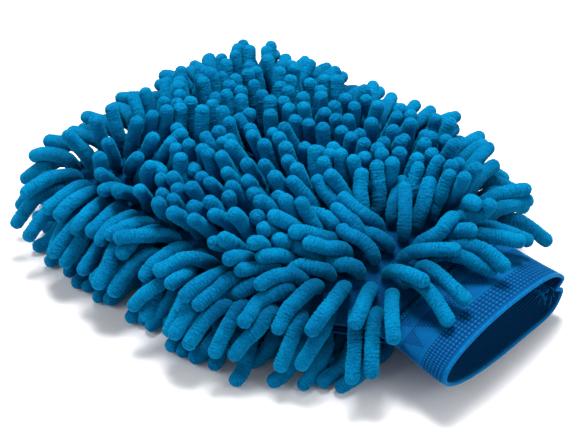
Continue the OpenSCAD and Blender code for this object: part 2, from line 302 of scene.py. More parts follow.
# each noodle is a strand of points that settles under its own weight among its neighbours
strandPlan = {
    "seed": 11,
    "points": 8,
    "radius": 3.6 * mm,
    "floorRoom": 3.8 * mm,
    "tight": {"upper": 0.96, "lower": 0.84},
    "rootTaper": [0.6, 0.85],
    "rootFree": [0.0, 0.35],
    "thickness": (0.94, 1.06),
    "phases": 50,
    "passes": 240,
    "sweeps": 3,
    "damping": 0.86,
    "gravity": 0.06 * mm,
    "hold": 0.030,
    "holdAlong": (1.6, 0.5),
    "bend": 0.25,
    "bendRate": 0.3,
    "pushRate": 0.42,
    "pushMost": 1.2 * mm,
    "pairEvery": 6,
    "pairReach": 2.6,
    "clothEvery": 3,
    "clothDepth": 1.5 * mm,
}

# how the noodles lie before they settle
liePlan = {
    "turnedBelow": -0.2,
    "crestFromWrist": 18 * mm,
    "crestAside": 22 * mm,
    "crestScatter": 5 * mm,
    "crestMess": 0.14,
    "crestMessReach": 32 * mm,
    "flop": 0.95,
    "flopReach": 42 * mm,
    "fall": 0.22,
    "sideFall": 1.1,
    "sideFallFrom": 26 * mm,
    "sideFallOver": 26 * mm,
    "overCuff": 0.9,
    "overCuffFrom": 21 * mm,
    "overCuffOver": 8 * mm,
    "uprightFrom": 0.3,
    "uprightOver": 0.4,
    "upperMess": 0.16,
    "fieldCalm": 0.07,
    "lowerMess": 0.15,
    "messUpwards": 0.6,
    "sway": (0.28, -0.32, 0.0),
    "swayEnd": 80 * mm,
    "swayOver": 40 * mm,
    "fartherFrom": 60 * mm,
    "fartherOver": 90 * mm,
    "fartherLean": 1.05,
    "nearUpright": 0.55,
    "lengths": (0.96, 1.06),
    "rimLength": 1.1,
    "fieldShorter": 0.2,
    "droop": 0.1,
    "rimDroop": 0.3,
    "twist": 0.22,
    "bendOver": 0.62,
}


def restStrand(root, out, lean, length, droop, twist):
    # bends over from the cloth's outward direction to its leaning direction
    points = strandPlan["points"]
    end = unit(lean + np.array([0, 0, -droop]))
    side = unit(np.cross(end, [0, 0, 1.0]))
    steps = []
    for k in range(points - 1):
        t = (k + 0.5) / (points - 1)
        w = smooth(t / liePlan["bendOver"])
        d = unit(out * (1 - w) + end * w + side * twist * math.sin(math.pi * t))
        steps.append(d * (length - strandPlan["radius"]) / (points - 1))
    return np.vstack([root, root + np.cumsum(steps, 0)])


def upperLie(root, lean, crest, rng):
    # the open field sways to one side and the noodles round the crest flop away from it
    plan = liePlan
    fromCrest = np.linalg.norm(root[:2] - crest)
    field = smooth((lean[2] - plan["uprightFrom"]) / plan["uprightOver"])
    mess = plan["upperMess"] - plan["fieldCalm"] * field
    mess += plan["crestMess"] * math.exp(-(fromCrest / plan["crestMessReach"]) ** 2)
    farther = smooth((wristX - plan["fartherFrom"] - root[0]) / plan["fartherOver"])
    nearSide = smooth((middleY + plan["swayEnd"] - root[1]) / plan["swayOver"])
    lean = unit(lean + lean * [1, 1, 0] * field * (plan["fartherLean"] * farther - plan["nearUpright"])
                + np.array(plan["sway"]) * field * nearSide)
    flop = plan["flop"] * math.exp(-(fromCrest / plan["flopReach"]) ** 2)
    away = unit(root[:2] - crest + rng.normal(0, plan["crestScatter"], 2))
    overCuff = smooth((root[0] - wristX + plan["overCuffFrom"]) / plan["overCuffOver"])
    away = unit(away + [plan["overCuff"] * overCuff, 0])
    aside = abs(root[1] - middleY)
    fall = plan["fall"] - plan["sideFall"] * smooth((aside - plan["sideFallFrom"]) / plan["sideFallOver"])
    lean = unit(lean * (1 - flop) + np.array([away[0], away[1], fall]) * flop)
    return lean, field, mess


def gatherStrands():
    plan = liePlan
    rng = np.random.default_rng(strandPlan["seed"])
    shell = bodyTree(["upper_backing", "lower_backing"])
    strands = []
    crest = np.array([wristX - plan["crestFromWrist"], middleY - plan["crestAside"]])
    for side, nodes in (("upper", upperNodes), ("lower", lowerNodes)):
        for row, node in enumerate(nodes):
            for root, lean, length in cadNoodles(node):
                near = shell.find_nearest(Vector(root))
                out = np.array(near[1])
                if np.dot(out, lean) < plan["turnedBelow"]:
                    out = -out
                field, mess, droop = 0.0, plan["lowerMess"], 0.0
                if side == "upper":
                    lean, field, mess = upperLie(root, lean, crest, rng)
                    droop = plan["droop"] + plan["rimDroop"] * (1 - field)
                length *= rng.uniform(*plan["lengths"]) * (plan["rimLength"] - plan["fieldShorter"] * field)
                lean = unit(lean + rng.normal(0, mess, 3) * [1, 1, plan["messUpwards"]])
                twist = rng.normal(0, plan["twist"])
                strands.append({
                    "side": side, "row": row, "length": length,
                    "rest": restStrand(np.array(near[0]), out, lean, length, droop, twist),
                    "thick": rng.uniform(*strandPlan["thickness"]),
                    "phase": rng.uniform(0, strandPlan["phases"]),
                })
    return strands


def bodyTree(nodes):
    points, faces, start = [], [], 0
    for node in nodes:
        p, f = mergedNode(node)
        points.append(p)
        faces.append(f + start)
        start += len(p)
    return BVHTree.FromPolygons([Vector(p) for p in np.vstack(points)], np.vstack(faces).tolist())


def keepLengths(place, step, free):
    # pulls the points of each strand back to their spacing, one link after the other
    for k in range(1, len(free)):
        link = place[:, k] - place[:, k - 1]
        off = (np.linalg.norm(link, axis=1, keepdims=True) - step) * unit(link)
        give = free[k] / (free[k] + free[k - 1] + 1e-9)
        place[:, k] -= off * give
        place[:, k - 1] += off * (1 - give) * (free[k - 1] > 0)


def shoveApart(flat, pairs, reach):
    # how far each point is moved by the strands that press on it
    a, b = pairs
    gap = flat[a] - flat[b]
    far = np.linalg.norm(gap, axis=1)
    over = np.maximum(reach[a] + reach[b] - far, 0)
    push = gap / np.maximum(far, 1e-6)[:, None] * (over * strandPlan["pushRate"])[:, None]
    shove = np.zeros_like(flat)
    np.add.at(shove, a, push)
    np.add.at(shove, b, -push)
    size = np.linalg.norm(shove, axis=1, keepdims=True)
    return shove * np.minimum(1, strandPlan["pushMost"] / np.maximum(size, 1e-9))


def settleStrands(strands):
    plan = strandPlan
    count, points = len(strands), plan["points"]
    rest = np.array([s["rest"] for s in strands])
    place = rest.copy()
    last = rest.copy()
    step = np.array([(s["length"] - plan["radius"]) / (points - 1) for s in strands])[:, None]
    tight = np.array([plan["tight"][s["side"]] for s in strands])
    radius = np.array([s["thick"] for s in strands]) * plan["radius"] * tight
    taper = np.array(plan["rootTaper"] + [1.0] * (points - 2))
    reach = (radius[:, None] * taper).ravel()
    onFloor = np.repeat([s["thick"] * plan["floorRoom"] for s in strands], points)
    free = np.array(plan["rootFree"] + [1.0] * (points - 2))
    freeFlat = np.tile(free, count)
    strandOf = np.repeat(np.arange(count), points)
    order = np.tile(np.arange(points), count)
    hold = plan["hold"] * np.linspace(*plan["holdAlong"], points)[None, :, None] * free[None, :, None]
    solids = bodyTree(["upper_backing", "lower_backing", "cuff_band"])
    pairs = None
    for turn in range(plan["passes"]):
        moved = (place - last) * plan["damping"]
        last = place.copy()
        place = place + moved * free[None, :, None]
        place[:, :, 2] -= plan["gravity"] * free[None, :]
        place += (rest - place) * hold
        for _ in range(plan["sweeps"]):
            keepLengths(place, step, free)
        chord = (place[:, :-2] + place[:, 2:]) / 2
        bend = (chord - place[:, 1:-1]) * plan["bend"]
        place[:, 1:-1] += bend * free[None, 1:-1, None] * plan["bendRate"]
        flat = place.reshape(-1, 3)
        if turn % plan["pairEvery"] == 0:
            pairs = closePairs(flat, strandOf, plan["pairReach"] * plan["radius"])
        flat += shoveApart(flat, pairs, reach) * freeFlat[:, None]
        if turn % plan["clothEvery"] == 0:
            keepOut(flat, order, reach, solids)
        flat[:, 2] = np.maximum(flat[:, 2], onFloor * (order > 0))
        place = flat.reshape(count, points, 3)
    return place


def closePairs(flat, strandOf, within):
    # points of different strands that lie near each other
    tree = KDTree(len(flat))
    for k, p in enumerate(flat):
        tree.insert(p, k)
    tree.balance()
    first, second = [], []
    for k, p in enumerate(flat):
        for _, other, _ in tree.find_range(p, within):
            if other > k and strandOf[k] != strandOf[other]:
                first.append(k)
                second.append(other)
    return np.array(first), np.array(second)


def keepOut(flat, order, reach, solids):
    # lifts the points that have sunk into the cloth back to its face
    for k in range(len(flat)):
        if order[k] < 2:
            continue
        spot, normal, _, far = solids.find_nearest(Vector(flat[k]))
        room = reach[k]
        if far < room:
            side = (Vector(flat[k]) - spot).dot(normal)
            if side > -strandPlan["clothDepth"]:
                flat[k] = np.array(spot + normal * room)


noodlePlan = {
    "radius": 3.5 * mm,
    "leastRadius": 0.02 * mm,
    "rootShare": 0.55,
    "rootGrown": 1.9,
    "ridgePitch": 1.4 * mm,
    "ridgeDepth": 0.42 * mm,
    "ridgeSharpness": 0.6,
    "ridgeWander": (260.0, 2.6),
    "ridgeFaint": (180.0, 0.3, 0.6, 0.35),
    "fuzzDepth": 0.46 * mm,
    "fuzzScale": 430.0,
    "bumpScales": (900.0, 2600.0),
    "bumpShare": 0.6,
    "patchScale": 38.0,
    "speckScale": 1500.0,
    "detail": {
        "upper": {"Ring Spacing": 0.46 * mm, "Sides": 14},
        "lower": {"Ring Spacing": 0.7 * mm, "Sides": 8},
    },
    # deep, body and bright blue for each side; deep serves for random dark specks and as the painted shade
    # in the ridge grooves and towards the roots
    "colours": {
        "upper": ((0.0, 0.028, 0.085), (0.0, 0.128, 0.305), (0.0, 0.2, 0.43)),
        "lower": ((0.0, 0.024, 0.075), (0.0, 0.11, 0.27), (0.0, 0.18, 0.395)),
    },
}


def sweptLines(graph, lines, spacing):
    # smooth lines with the length run so far kept on each point
    lines = graph.add("GeometryNodeMeshToCurve", None, {0: lines})
    lines = graph.add("GeometryNodeCurveSplineType", {"spline_type": "CATMULL_ROM"}, {0: lines})
    lines = graph.add("GeometryNodeResampleCurve", {"mode": "LENGTH"}, {0: lines, "Length": spacing})
    run = graph.add("GeometryNodeSplineParameter", None, None, "Length")
    return graph.store(lines, "run", run), run


def noodleTree():
    # a tube along each strand: narrow at the sewn root, ridged and fuzzy, domed at the tip
    plan = noodlePlan
    graph, given = newTree("chenilleNoodles", {
        "Noodle Radius": ("Float", plan["radius"]),
        "Root Share": ("Float", plan["rootShare"]),
        "Ring Spacing": ("Float", plan["detail"]["upper"]["Ring Spacing"]),
        "Sides": ("Int", plan["detail"]["upper"]["Sides"]),
        "Ridge Pitch": ("Float", plan["ridgePitch"]),
        "Ridge Depth": ("Float", plan["ridgeDepth"]),
        "Fuzz Depth": ("Float", plan["fuzzDepth"]),
        "Fuzz Scale": ("Float", plan["fuzzScale"]),
        "Material": ("Material", None),
    })
    radius = given["Noodle Radius"]
    lines, run = sweptLines(graph, given["Geometry"], given["Ring Spacing"])
    whole = graph.add("GeometryNodeSplineLength", None, None, "Length")
    thick = graph.value("thick")
    toTip = ((whole - run) / (radius * thick)).math("MINIMUM", 1.0)
    dome = (1.0 - (1.0 - toTip) ** 2.0).math("MAXIMUM", 0.0).math("SQRT")
    rootShare = given["Root Share"]
    grown = rootShare + (1.0 - rootShare) * graph.span(run / radius, 0.0, plan["rootGrown"])
    # along runs from root to tip; the material paints shade towards the root with it
    lines = graph.store(lines, "along", run / whole)
    lines = graph.store(lines, "shaft", dome * grown)
    width = radius * thick * dome * grown + plan["leastRadius"]
    tubes = graph.tube(lines, given["Sides"], width)
    place = graph.add("GeometryNodeInputPosition")
    wanderScale, wanderTurns = plan["ridgeWander"]
    turns = graph.value("run") / given["Ridge Pitch"] + graph.value("phase")
    turns = turns + graph.noise(place, wanderScale, 2.0) * wanderTurns
    ridge = ((turns * math.tau).math("SINE") * 0.5 + 0.5) ** plan["ridgeSharpness"]
    faintScale, faintLow, faintHigh, faintest = plan["ridgeFaint"]
    clear = graph.span(graph.noise(place, faintScale, 1.0), faintLow, faintHigh, faintest, 1.0)
    ridge = 1.0 - (1.0 - ridge) * clear
    fluff = graph.noise(place, given["Fuzz Scale"], 3.0) - 0.5
    shaft = graph.value("shaft")
    rise = (ridge - 1.0) * given["Ridge Depth"] * shaft ** 3.0 + fluff * given["Fuzz Depth"] * 2.0 * shaft
    # the ridge value also drives the painted shade in the grooves, in the material
    relief = graph.store(tubes, "ridge", ridge)
    normal = graph.add("GeometryNodeInputNormal")
    shift = graph.add("ShaderNodeVectorMath", {"operation": "SCALE"}, {0: normal, "Scale": rise})
    tubes = graph.add("GeometryNodeSetPosition", None, {0: relief, "Offset": shift})
    tubes = graph.add("GeometryNodeSetShadeSmooth", None, {0: tubes})
    return endTree(graph, tubes, given["Material"])


def noodleMaterial(name, colours):
    plan = noodlePlan
    deep, body, bright = colours

    def colour(graph):
        place = graph.objectPlace()
        along = graph.attribute("along")
        ridge = graph.attribute("ridge")
        patch = graph.noise(place, plan["patchScale"], 2.0)
        speck = graph.noise(place, plan["speckScale"], 2.0)
        tone = graph.mix(graph.span(patch, 0.32, 0.68), body, bright)
        tone = graph.mix(graph.span(speck, 0.45, 0.7) * 0.55, tone, bright)
        tone = graph.mix(graph.span(speck, 0.5, 0.3) * 0.5, tone, deep)
        # painted shade: the grooves between the ridges are darkened towards the deep blue
        tone = graph.mix(graph.span(ridge, 0.1, 0.8, 0.5, 0.0), tone, deep)
        # painted shade: darker towards the sewn root, where the neighbouring noodles shade each other, so
        # the tips read lighter
        return graph.mix(graph.span(along, 0.05, 0.7, 0.85, 0.0), tone, deep)

    def bump(graph):
        place = graph.objectPlace()
        coarse, fine = plan["bumpScales"]
        return graph.noise(place, coarse, 3.0) + graph.noise(place, fine, 2.0) * plan["bumpShare"]

    return clothMaterial(name, colour, bump if "bump" in finishes[name] else None)


def makeNoodles():
    strands = gatherStrands()
    print("strands gathered:", len(strands))
    place = settleStrands(strands)
    print("strands settled")
    tree = noodleTree()
    materials = {
        "upper": noodleMaterial("chenilleUpper", noodlePlan["colours"]["upper"]),
        "lower": noodleMaterial("chenilleLower", noodlePlan["colours"]["lower"]),
    }
    for side, nodes in (("upper", upperNodes), ("lower", lowerNodes)):
        for row, node in enumerate(nodes):
            lines, thick, phase = [], [], []
            for strand, points in zip(strands, place):
                if strand["side"] != side or strand["row"] != row:
                    continue
                apex = points[-1] + unit(points[-1] - points[-2]) * strandPlan["radius"] * strand["thick"]
                lines.append(np.vstack([points, apex]))
                thick.append(np.full(len(points) + 1, strand["thick"]))
                phase.append(np.full(len(points) + 1, strand["phase"]))
            mesh = lineMesh(node + "Lines", lines, thick=thick, phase=phase)
            values = {**noodlePlan["detail"][side], "Material": materials[side]}
            piece = runTree(node.replace("pile", "noodles"), mesh, tree, values)
            standFor(piece, side + "_noodles", node)
    print("noodles made")


# backing and lining of the sewn body; both are cut to the same flat pattern
bodyPlan = {
    "panelFlat": (0.185, 0.215),
    "panelArea": 0.0335,
    "ground": ((0.0, 0.022, 0.075), (0.0, 0.05, 0.16)),
    "groundKnit": (1.4 * mm, 1.6 * mm),
    "lining": ((0.0, 0.016, 0.05), (0.0, 0.03, 0.09)),
    "liningKnit": (0.9 * mm, 0.9 * mm),
    "chainPitch": 2.6 * mm,
    "chainRadius": 0.9 * mm,
    "chainThread": 0.2 * mm,
    "flatFaces": 0.6,
    "flatShapes": 1.2,
}


def knitBump(graph, stitch, wale):
    # columns of small knitted loops over the cloth
    place = graph.add("ShaderNodeSeparateXYZ", None, {0: graph.objectPlace()})
    across = graph.sibling(place, 1)
    loop = (place * (math.tau / stitch) + (across * (math.pi / wale)).math("SINE") * 1.2).math("SINE")
    column = (across * (math.tau / wale)).math("COSINE")
    return loop * 0.5 + column * 0.5


def groundMaterial(name, colours, knit):
    deep, body = colours

    def colour(graph):
        patch = graph.noise(graph.objectPlace(), 60.0, 3.0)
        fleck = graph.noise(graph.objectPlace(), 900.0, 2.0)
        return graph.mix(graph.span(patch * 0.6 + fleck * 0.4, 0.3, 0.7), deep, body)

    return clothMaterial(name, colour, lambda graph: knitBump(graph, *knit))


def softCopy(name, node, material):
    # a joined and rounded copy of a CAD cloth, as a plain mesh
    points, faces = mergedNode(node)
    mesh = bpy.data.meshes.new(name)
    mesh.from_pydata(points.tolist(), [], faces.tolist())
    mesh.materials.append(material)
    work = bmesh.new()
    work.from_mesh(mesh)
    bmesh.ops.join_triangles(work, faces=work.faces, angle_face_threshold=bodyPlan["flatFaces"],
                             angle_shape_threshold=bodyPlan["flatShapes"])
    for face in work.faces:
        face.smooth = True
    work.to_mesh(mesh)
    work.free()
    source = placeMesh(name + "Source", mesh)
    rounded = source.modifiers.new("rounded", "SUBSURF")
    rounded.levels = 1
    rounded.render_levels = 1
    bpy.context.view_layer.update()
    result = bpy.data.meshes.new_from_object(source.evaluated_get(bpy.context.evaluated_depsgraph_get()))
    bpy.data.objects.remove(source)
    return placeMesh(name, result)


def makeBody():
    plan = bodyPlan
    ground = groundMaterial("backingKnit", plan["ground"], plan["groundKnit"])
    inner = groundMaterial("liningTricot", plan["lining"], plan["liningKnit"])
    allowance = softCopy("perimeterAllowance", "perimeter_seam", ground)
    standFor(allowance, "backing", "perimeter_seam")
    chain = chainPiece("perimeterChain", pathAround("perimeter_overlock"),
                       plan["chainPitch"], plan["chainRadius"], plan["chainThread"])
    standFor(chain, "thread", "perimeter_overlock")
    for side in ("upper", "lower"):
        panel = softCopy(side + "Backing", side + "_backing", ground)
        standFor(panel, "backing", side + "_backing")
        lining = softCopy(side + "Lining", side + "_lining", inner)
        standFor(lining, "lining", side + "_lining")
    print("body made")


threadPlan = {
    "radius": 0.2 * mm,
    "spacing": 0.35 * mm,
    "sides": 5,
    "ply": 0.8 * mm,
    # the thread's deep and bright blue, alternated along the plies as painted shade in the dips between
    # them
    "colours": ((0.0, 0.06, 0.2), (0.0, 0.17, 0.42)),
    "turnPoints": 9,
    "wide": 1.15,
    "tall": 0.75,
}


def threadTree():
    graph, given = newTree("sewingThread", {
        "Thread Radius": ("Float", threadPlan["radius"]),
        "Ring Spacing": ("Float", threadPlan["spacing"]),
        "Sides": ("Int", threadPlan["sides"]),
        "Material": ("Material", None),
    })
    lines, _ = sweptLines(graph, given["Geometry"], given["Ring Spacing"])
    tubes = graph.tube(lines, given["Sides"], given["Thread Radius"])
    tubes = graph.add("GeometryNodeSetShadeSmooth", None, {0: tubes})
    return endTree(graph, tubes, given["Material"])


def threadMaterial():
    deep, bright = threadPlan["colours"]

    def ply(graph):
        return (graph.attribute("run") * (math.tau / threadPlan["ply"])).math("SINE")

    def colour(graph):
        # painted shade between the plies: darker where the ply bump is low
        return graph.mix(graph.span(ply(graph), -1.0, 1.0), deep, bright)

    return clothMaterial("sewingThread", colour, ply)


def threadPiece(name, lines, radius, closed=False, material=None, sides=threadPlan["sides"],
                spacing=threadPlan["spacing"]):
    mesh = lineMesh(name + "Lines", lines, closed)
    values = {"Thread Radius": radius, "Ring Spacing": spacing, "Sides": sides,
              "Material": material or thread}
    return runTree(name, mesh, sewing, values)


def pathAround(node, ringSides=6):
    # middle line of a CAD chain that runs round the body: its rings in order
    points = mergedNode(node)[0]
    middle = (points.min(0) + points.max(0)) / 2
    angle = np.arctan2(points[:, 1] - middle[1], points[:, 0] - middle[0]) % math.tau
    return points[np.argsort(angle)].reshape(-1, ringSides, 3).mean(1)


def chainPiece(name, path, pitch, radius, thickness):
    # an overlock chain: one thread winding round a line, a second one running straight
    lengths = np.r_[0, np.cumsum(np.linalg.norm(np.diff(path, axis=0), axis=1))]
    count = int(lengths[-1] / pitch * threadPlan["turnPoints"])
    at = np.linspace(0, lengths[-1], count)
    middle = np.array([np.interp(at, lengths, path[:, k]) for k in range(3)]).T
    ahead = unit(np.gradient(middle, axis=0))
    side = unit(np.cross(ahead, [0, 0, 1.0]))
    up = np.cross(side, ahead)
    turn = at / pitch * math.tau
    acrossPart = np.cos(turn)[:, None] * side * threadPlan["wide"]
    upPart = np.sin(turn)[:, None] * up * threadPlan["tall"]
    wound = middle + radius * (acrossPart + upPart)
    return threadPiece(name, [wound, middle + side * radius * 0.5], thickness)


cuffPlan = {
    "flat": (0.20, 0.039),
    "around": 540,
    "along": 116,
    "inside": 34,
    "ringGap": 1 * mm,
    "ringDepth": 0.1 * mm,
    "seamPoint": 28,
    "relief": 0.34 * mm,
    "middleHeight": 0.4,
    "beads": 108,
    "beadPitch": 1.75 * mm,
    "beadStart": 1.3 * mm,
    "beadRows": 6,
    "lineWidth": 1.9 * mm,
    "peaks": 15,
    "peakHeight": 10.0 * mm,
    "peakBorder": 0.55 * mm,
    "fineRib": 0.95 * mm,
    "dotPitch": 1.3 * mm,
    "dotShare": 1.25,
    "ribPitch": 1.15 * mm,
    "fullLip": 5.0 * mm,
    "lowLip": (0.885, 0.42),
    "highLip": (0.12, 0.5),
    "lipStart": -0.4,
    "lipOut": 0.8,
    "lipRise": 0.3,
    "lipDrop": 0.75,
    # the groove colour is painted shade in the low knit between the stitches, and the raised tones are a
    # painted highlight on the raised stitches; the flat tones are the knit's own blue
    "grooveShade": (0.0, 0.022, 0.095),
    "flatTones": ((0.0, 0.062, 0.205), (0.0, 0.08, 0.245)),
    "raisedHighlightTones": ((0.0, 0.12, 0.31), (0.0, 0.17, 0.39)),
    # the inside tones are the inside's own dark blue, alternated across the ribs as painted shade
    "insideTones": ((0.0, 0.02, 0.075), (0.0, 0.048, 0.15)),
    "edgeTones": ((0.0, 0.085, 0.27), (0.0, 0.14, 0.38)),
}


def spline(points, count, closed):
    # Catmull-Rom along the first axis
    n = len(points)
    at = np.linspace(0, n if closed else n - 1, count, endpoint=not closed)
    base = np.minimum(at.astype(int), n - 1 if closed else n - 2)
    t = (at - base).reshape((-1,) + (1,) * (points.ndim - 1))
    spots = [(base + k) % n if closed else np.clip(base + k, 0, n - 1) for k in (-1, 0, 1, 2)]
    a, b, c, d = (points[spot] for spot in spots)
    square = (2 * a - 5 * b + 4 * c - d) * t ** 2
    cube = (3 * b - a - 3 * c + d) * t ** 3
    return 0.5 * (2 * b + (c - a) * t + square + cube)


def cadCuff():
    # outer and inner rings of the CAD band, each from its +Y side round, from the body to the mouth
    points, faces = mergedNode("cuff_band")
    corners = points[faces]
    flat = np.cross(corners[:, 1] - corners[:, 0], corners[:, 2] - corners[:, 0])
    normals = np.zeros_like(points)
    for k in range(3):
        np.add.at(normals, faces[:, k], flat)
    outer, inner = [], []
    steps = np.unique(np.round(points[:, 0], 5))
    for x in steps[np.r_[True, np.diff(steps) > cuffPlan["ringGap"]]]:
        ring = np.abs(points[:, 0] - x) < cuffPlan["ringDepth"]
        here, normal = points[ring], normals[ring]
        offset = here[:, 1:] - here[:, 1:].mean(0)
        outwards = (offset * normal[:, 1:]).sum(1) > 0
        for keep, rings in ((outwards, outer), (~outwards, inner)):
            chosen = here[keep][np.argsort(np.arctan2(offset[keep, 1], offset[keep, 0]))]
            rings.append(np.roll(chosen, len(chosen) // 2 - np.argmin(chosen[:, 1]), axis=0))
    return np.array(outer), np.array(inner)


def fullerLip(rings):
    # the lower lip bulges out beside the side seam and the upper one flattens a little
    plan = cuffPlan
    angle = math.tau * np.arange(rings.shape[1]) / rings.shape[1]
    share = smooth(np.linspace(plan["lipStart"], 1, rings.shape[0]))[:, None]
    (lowTurn, lowSpread), (highTurn, highSpread) = plan["lowLip"], plan["highLip"]
    low = np.exp(-((angle - math.tau * lowTurn) / lowSpread) ** 2)[None, :]
    high = np.exp(-((angle - math.tau * highTurn) / highSpread) ** 2)[None, :]
    moved = rings.copy()
    moved[:, :, 1] += plan["fullLip"] * plan["lipOut"] * low * share
    moved[:, :, 2] += plan["fullLip"] * (plan["lipRise"] * high - plan["lipDrop"] * low) * share
    return moved


def wave(x):
    return 0.5 - 0.5 * np.cos(math.tau * x)


def cuffPattern(u, v):
    # knitted relief from 0 to 1: u around from 0 to 1, v distance from the mouth
    plan = cuffPlan
    bead = wave(u * plan["beads"]) ** 0.8
    rows = (v - plan["beadStart"]) / plan["beadPitch"]
    beads = 0.12 + 0.88 * bead * wave(rows) ** 0.9
    bandEnd = plan["beadStart"] + plan["beadRows"] * plan["beadPitch"]
    lines = 0.35 + 0.5 * wave((v - bandEnd) / (plan["lineWidth"] / 2))
    deep = v - bandEnd - plan["lineWidth"]
    tier = np.floor(deep / plan["peakHeight"])
    within = deep / plan["peakHeight"] - tier
    zig = np.abs(((u * plan["peaks"] + 0.5 * tier) % 1) * 2 - 1)
    ribs = 0.35 + 0.45 * wave(v / plan["fineRib"])
    dotRow = v / plan["dotPitch"]
    dots = 0.2 + 0.6 * wave(u * plan["beads"] * plan["dotShare"] + 0.5 * np.floor(dotRow)) * wave(dotRow)
    body = np.where(within < zig, ribs, dots)
    border = np.exp(-((within - zig) * plan["peakHeight"] / plan["peakBorder"]) ** 2)
    stitch = 0.15 + 0.85 * wave(u * plan["beads"] * 2)
    body = body * (1 - border) + border * (0.95 * stitch)
    height = np.where(v < bandEnd, beads, np.where(deep < 0, lines, body))
    return np.where(v < plan["beadStart"], 0.5, height)


def cuffMaterial():
    def colour(graph):
        raised = graph.attribute("raised")
        fleck = graph.noise(graph.objectPlace(), 1200.0, 2.0)
        patch = graph.noise(graph.objectPlace(), 45.0, 2.0)
        tone = graph.mix(graph.span(patch, 0.3, 0.7), *cuffPlan["flatTones"])
        # painted shade and painted highlight of the knitted relief: darker in the low knit between the
        # stitches, lighter on the raised stitches
        bright = graph.mix(fleck, *cuffPlan["raisedHighlightTones"])
        tone = graph.mix(graph.span(raised, 0.1, 0.5), cuffPlan["grooveShade"], tone)
        return graph.mix(graph.span(raised, 0.5, 1.0), tone, bright)

    def bump(graph):
        return graph.noise(graph.objectPlace(), 2600.0, 2.0)

    return clothMaterial("cuffKnit", colour, bump)


def cuffInsideMaterial():
    def ribs(graph):
        return (graph.attribute("fromMouth") * (math.tau / cuffPlan["ribPitch"])).math("SINE")

    def colour(graph):
        rib = graph.span(ribs(graph), -1.0, 1.0)
        fleck = graph.noise(graph.objectPlace(), 1500.0, 2.0)
        # painted shade between the ribs: darker where the rib bump is low, with random flecks
        return graph.mix(rib * 0.7 + fleck * 0.3, *cuffPlan["insideTones"])

    def bump(graph):
        return ribs(graph) + graph.noise(graph.objectPlace(), 2000.0, 2.0) * 0.4

    return clothMaterial("cuffInside", colour, bump)


def edgeMaterial():
    def colour(graph):
        fleck = graph.noise(graph.objectPlace(), 900.0, 3.0)
        return graph.mix(graph.span(fleck, 0.3, 0.7), *cuffPlan["edgeTones"])

    def bump(graph):
        stitch = (graph.attribute("run") * (math.tau / trimPlan["edgeStitch"])).math("SINE")
        return stitch * 0.5 + graph.noise(graph.objectPlace(), 1800.0, 2.0)

    return clothMaterial("rolledEdge", colour, bump)


def makeCuff():
    plan = cuffPlan
    outer, inner = (fullerLip(rings) for rings in cadCuff())
    around, along, inside = plan["around"], plan["along"], plan["inside"]
    long = np.linalg.norm(outer[-1, plan["seamPoint"]] - outer[0, plan["seamPoint"]])

    def grid(rings, rows):
        dense = spline(np.swapaxes(rings, 0, 1), around, True)
        return spline(np.swapaxes(dense, 0, 1), rows, False)

    skin = grid(outer, along)
    across = np.roll(skin, -1, 1) - np.roll(skin, 1, 1)
    normal = unit(np.cross(across, np.gradient(skin, axis=0)))
    if normal[0, 0, 1] < 0:
        normal = -normal
    u = (np.arange(around) / around)[None, :] + np.zeros((along, 1))
    v = long * (1 - np.arange(along) / (along - 1))[:, None] + np.zeros((1, around))
    raised = cuffPattern(u, v)
    skin = skin + normal * ((raised - plan["middleHeight"]) * plan["relief"])[:, :, None]
    lining = grid(inner, inside)[::-1]
    deep = long * (np.arange(inside) / (inside - 1))[:, None] + np.zeros((1, around))
    points = np.vstack([skin.reshape(-1, 3), lining.reshape(-1, 3)])
    rows = along + inside
    cell = np.arange(rows * around).reshape(rows, around)
    ahead = np.roll(cell, -1, 0)
    quads = np.stack([cell, np.roll(cell, -1, 1), np.roll(ahead, -1, 1), ahead], -1).reshape(-1, 4)
    mesh = bpy.data.meshes.new("cuffBand")
    mesh.from_pydata(points.tolist(), [], quads.tolist())
    # raised is the knit's height; the cuff material paints shade and highlight from it
    for label, values in (("raised", np.r_[raised.ravel(), np.full(deep.size, 0.3)]),
                          ("fromMouth", np.r_[v.ravel(), deep.ravel()])):
        mesh.attributes.new(label, "FLOAT", "POINT").data.foreach_set("value", values.astype(np.float32))
    mesh.materials.append(cuffMaterial())
    mesh.materials.append(cuffInsideMaterial())
    isInside = np.arange(len(quads)) // around >= along
    mesh.polygons.foreach_set("material_index", isInside.astype(int).tolist())
    mesh.polygons.foreach_set("use_smooth", [True] * len(quads))
    work = bmesh.new()
    work.from_mesh(mesh)
    bmesh.ops.recalc_face_normals(work, faces=work.faces)
    work.to_mesh(mesh)
    work.free()
    band = standFor(placeMesh("cuffBand", mesh), "cuff_knit", "cuff_band")
    extras = makeCuffTrim(outer, inner)
    print("cuff made")


# rolled edge, seam and threads of the cuff
trimPlan = {
    "seed": 5,
    "edgePoints": 240,
    "edgeOut": 0.5 * mm,
    "edgeRadius": 0.95 * mm,
    "edgeSides": 12,
    "edgeSpacing": 0.6 * mm,
    "edgeStitch": 0.9 * mm,
    "flap": ((0.0, 0.03, 0.11), (0.0, 0.06, 0.2)),
    "flapKnit": (1.1 * mm, 1.2 * mm),
    "lanePoints": 60,
    "laneEnd": 0.5 * mm,
    "laneInwards": 6.8 * mm,
    "chainPitch": 2.2 * mm,
    "chainRadius": 0.95 * mm,
    "thread": 0.24 * mm,
    "looseEnds": 9,
    "looseSteps": 7,
    "looseStep": (0.6, 1.1),
    "looseRadius": 0.17 * mm,
    "looseTurn": 0.45,
    "looseSink": -0.12,
    "seamRing": 8,
    "seamStitches": 120,
    "seamSwing": [-0.5, 0.5, 0.9, 0.5, -0.5, -0.9],
    "seamOut": 0.75 * mm,
}


